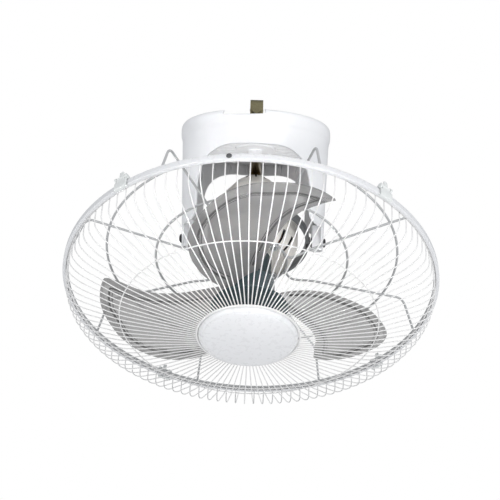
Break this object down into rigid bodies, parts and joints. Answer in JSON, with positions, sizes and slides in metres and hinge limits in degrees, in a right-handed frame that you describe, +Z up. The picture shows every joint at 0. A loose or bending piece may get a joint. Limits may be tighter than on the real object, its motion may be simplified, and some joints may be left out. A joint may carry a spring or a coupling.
{
  "type": "orbital ceiling fan",
  "caption": "Orbiting ceiling fan: a canopy drum on legs carries a caged, tilted fan head whose axis sweeps round a cone.",
  "frame": {"origin": "centre of the hanger strap's flat top face", "axes": "+Z up along the canopy's and the orbit's axis, -Y towards the side that the head's front faces at rest, +X to the right seen from there"},
  "size_m": [0.47, 0.4039, 0.4067],
  "materials": {
    "canopy_plastic": "glossy moulded white",
    "guard_plastic": "satin moulded white",
    "guard_wire": "white powder coat on wire",
    "ring_paint": "dark grey satin paint",
    "motor_paint": "warm light grey paint on a casting",
    "blade_plastic": "smoke grey clear moulding",
    "black_plastic": "satin black",
    "zinc_steel": "yellow zinc plate",
    "bright_steel": "bright zinc plate",
    "core_steel": "stacked steel sheets",
    "winding_copper": "varnished copper",
    "gear_brass": "turned brass",
    "gear_nylon": "natural nylon",
    "roller_rubber": "black rubber"
  },
  "bodies": {
    "yoke": {"canopy_yoke": "canopy_plastic", "hanger_plate": "bright_steel", "hanger_strap": "zinc_steel", "hanger_bolt": "zinc_steel", "hanger_nut": "zinc_steel", "hook_roller": "roller_rubber", "plate_screw_1": "bright_steel", "plate_screw_2": "bright_steel", "plate_screw_3": "bright_steel", "plate_screw_4": "bright_steel", "strap_screw_1": "bright_steel", "strap_screw_2": "bright_steel", "run_capacitor": "black_plastic", "terminal_block": "gear_nylon", "orbit_bearing": "gear_nylon", "leg_bush_left": "black_plastic", "leg_bush_right": "black_plastic", "leg_screw_left": "black_plastic", "leg_screw_right": "black_plastic"},
    "crank": {"crank_arm": "zinc_steel", "crank_retainer": "bright_steel", "crown_gear": "gear_nylon"},
    "head": {"motor_front_cover": "motor_paint", "motor_rear_cover": "motor_paint", "gear_dome": "motor_paint", "gearbox_frame": "zinc_steel", "stator_core": "core_steel", "winding_front": "winding_copper", "winding_rear": "winding_copper", "bearing_front": "bright_steel", "bearing_rear": "bright_steel", "dome_bush": "gear_brass", "rear_guard": "guard_wire", "front_guard": "guard_wire", "rim_band": "guard_plastic", "rim_screw": "bright_steel", "centre_disc": "guard_plastic", "guard_screw_1": "bright_steel", "guard_screw_2": "bright_steel", "guard_screw_3": "bright_steel", "guard_screw_4": "bright_steel", "clip_saddle_1": "guard_plastic", "clip_saddle_2": "guard_plastic", "clip_saddle_3": "guard_plastic", "clip_saddle_4": "guard_plastic"},
    "ring": {"universal_ring": "ring_paint", "ring_pin_front": "black_plastic", "ring_pin_rear": "black_plastic"},
    "rotor": {"motor_shaft": "bright_steel", "rotor_core": "core_steel", "fan_blades": "blade_plastic", "blade_nut": "black_plastic"},
    "worm_wheel": {"worm_wheel": "gear_nylon"},
    "pinion": {"pinion_shaft": "gear_brass", "clutch_spring": "bright_steel"},
    "clip_1": {"clip_lever_1": "guard_plastic"},
    "clip_2": {"clip_lever_2": "guard_plastic"},
    "clip_3": {"clip_lever_3": "guard_plastic"},
    "clip_4": {"clip_lever_4": "guard_plastic"}
  },
  "joints": [
    {"name": "orbit", "type": "hinge", "parent": "yoke", "child": "crank", "pos_m": [0, 0, -0.188], "axis": [0, 0, 1], "continuous": true},
    {"name": "head_precession", "type": "hinge", "parent": "crank", "child": "head", "pos_m": [0, 0, -0.188], "axis": [0, 0.5446, 0.8387], "continuous": true},
    {"name": "ring_swing", "type": "hinge", "parent": "head", "child": "ring", "pos_m": [0, 0, -0.188], "axis": [0, 0.8387, -0.5446], "range_deg": [-33, 33]},
    {"name": "blade_spin", "type": "hinge", "parent": "head", "child": "rotor", "pos_m": [0, 0, -0.188], "axis": [0, 0.5446, 0.8387], "continuous": true},
    {"name": "worm_wheel_spin", "type": "hinge", "parent": "head", "child": "worm_wheel", "pos_m": [0, 0.02685, -0.12555], "axis": [1, 0, 0], "continuous": true},
    {"name": "pinion_spin", "type": "hinge", "parent": "head", "child": "pinion", "pos_m": [0, 0.02685, -0.12555], "axis": [1, 0, 0], "continuous": true},
    {"name": "clip_1_turn", "type": "hinge", "parent": "head", "child": "clip_1", "pos_m": [-0.14579, -0.19767, -0.14977], "axis": [-0.788, 0.5163, -0.3353], "range_deg": [0, 90]},
    {"name": "clip_2_turn", "type": "hinge", "parent": "head", "child": "clip_2", "pos_m": [0.14902, -0.19551, -0.15118], "axis": [-0.7771, -0.5278, 0.3428], "range_deg": [0, 90]},
    {"name": "clip_3_turn", "type": "hinge", "parent": "head", "child": "clip_3", "pos_m": [0.17872, 0.08912, -0.33602], "axis": [0.6561, -0.633, 0.411], "range_deg": [0, 90]},
    {"name": "clip_4_turn", "type": "hinge", "parent": "head", "child": "clip_4", "pos_m": [-0.12196, 0.12906, -0.36195], "axis": [0.8572, 0.4319, -0.2805], "range_deg": [0, 90]}
  ],
  "couplings": [
    {"joint": "head_precession", "follows": "orbit", "ratio": -1},
    {"joint": "pinion_spin", "follows": "orbit", "ratio": -4},
    {"joint": "worm_wheel_spin", "follows": "blade_spin", "ratio": 0.055556}
  ]
}
